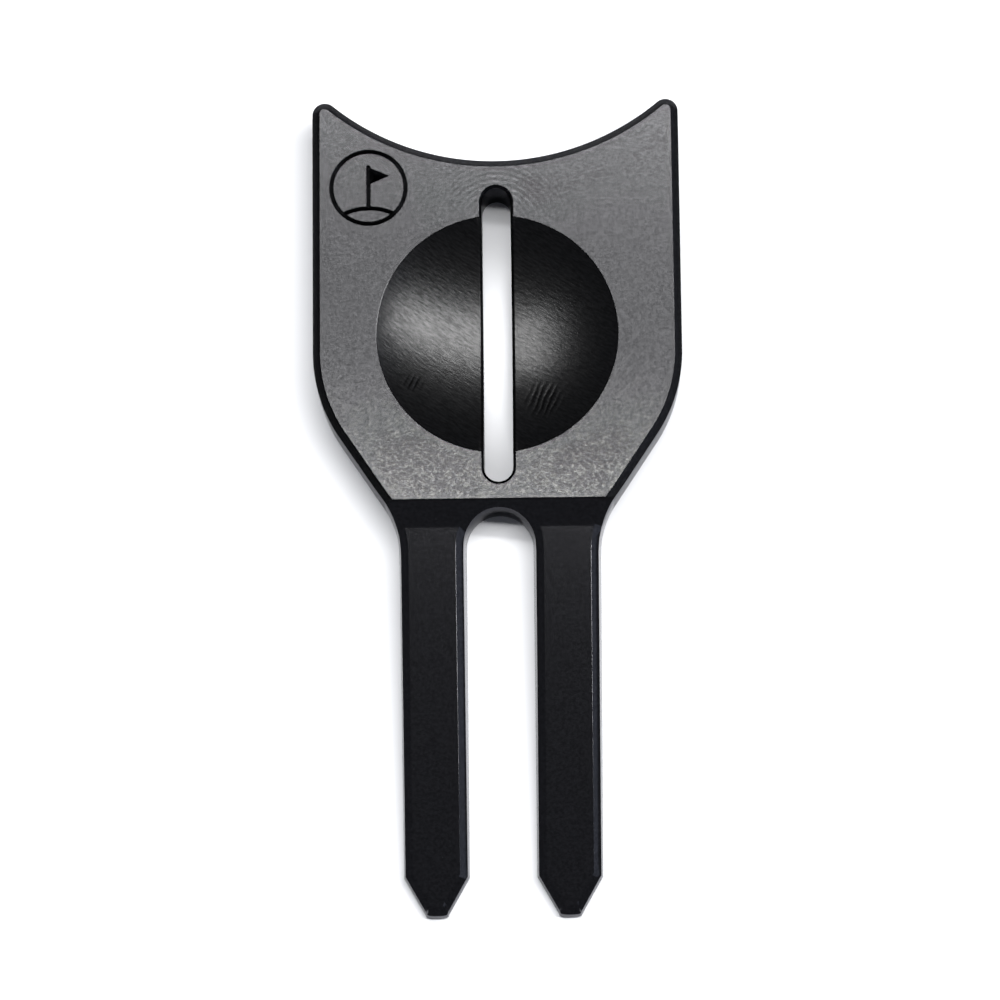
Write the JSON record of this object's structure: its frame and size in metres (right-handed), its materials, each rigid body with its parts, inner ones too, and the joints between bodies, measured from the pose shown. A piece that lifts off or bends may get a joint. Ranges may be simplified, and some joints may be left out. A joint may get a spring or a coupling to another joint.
{
  "type": "divot repair tool",
  "caption": "Flat golf green repair tool with two pointed tines, a hollowed end that props a club, and a round ball seat with a slot for drawing a line.",
  "frame": {"origin": "centre of the bounding box's underside, on the flat back face", "axes": "+Y along the tool from the tines to the hollowed end, +Z out of the front face with the ball seat, X across the head"},
  "size_m": [0.0382, 0.0846, 0.0063],
  "materials": {
    "black_anodised_aluminium": "milled, then anodised black, satin"
  },
  "bodies": {
    "root": {"tool_body": "black_anodised_aluminium"}
  },
  "joints": []
}
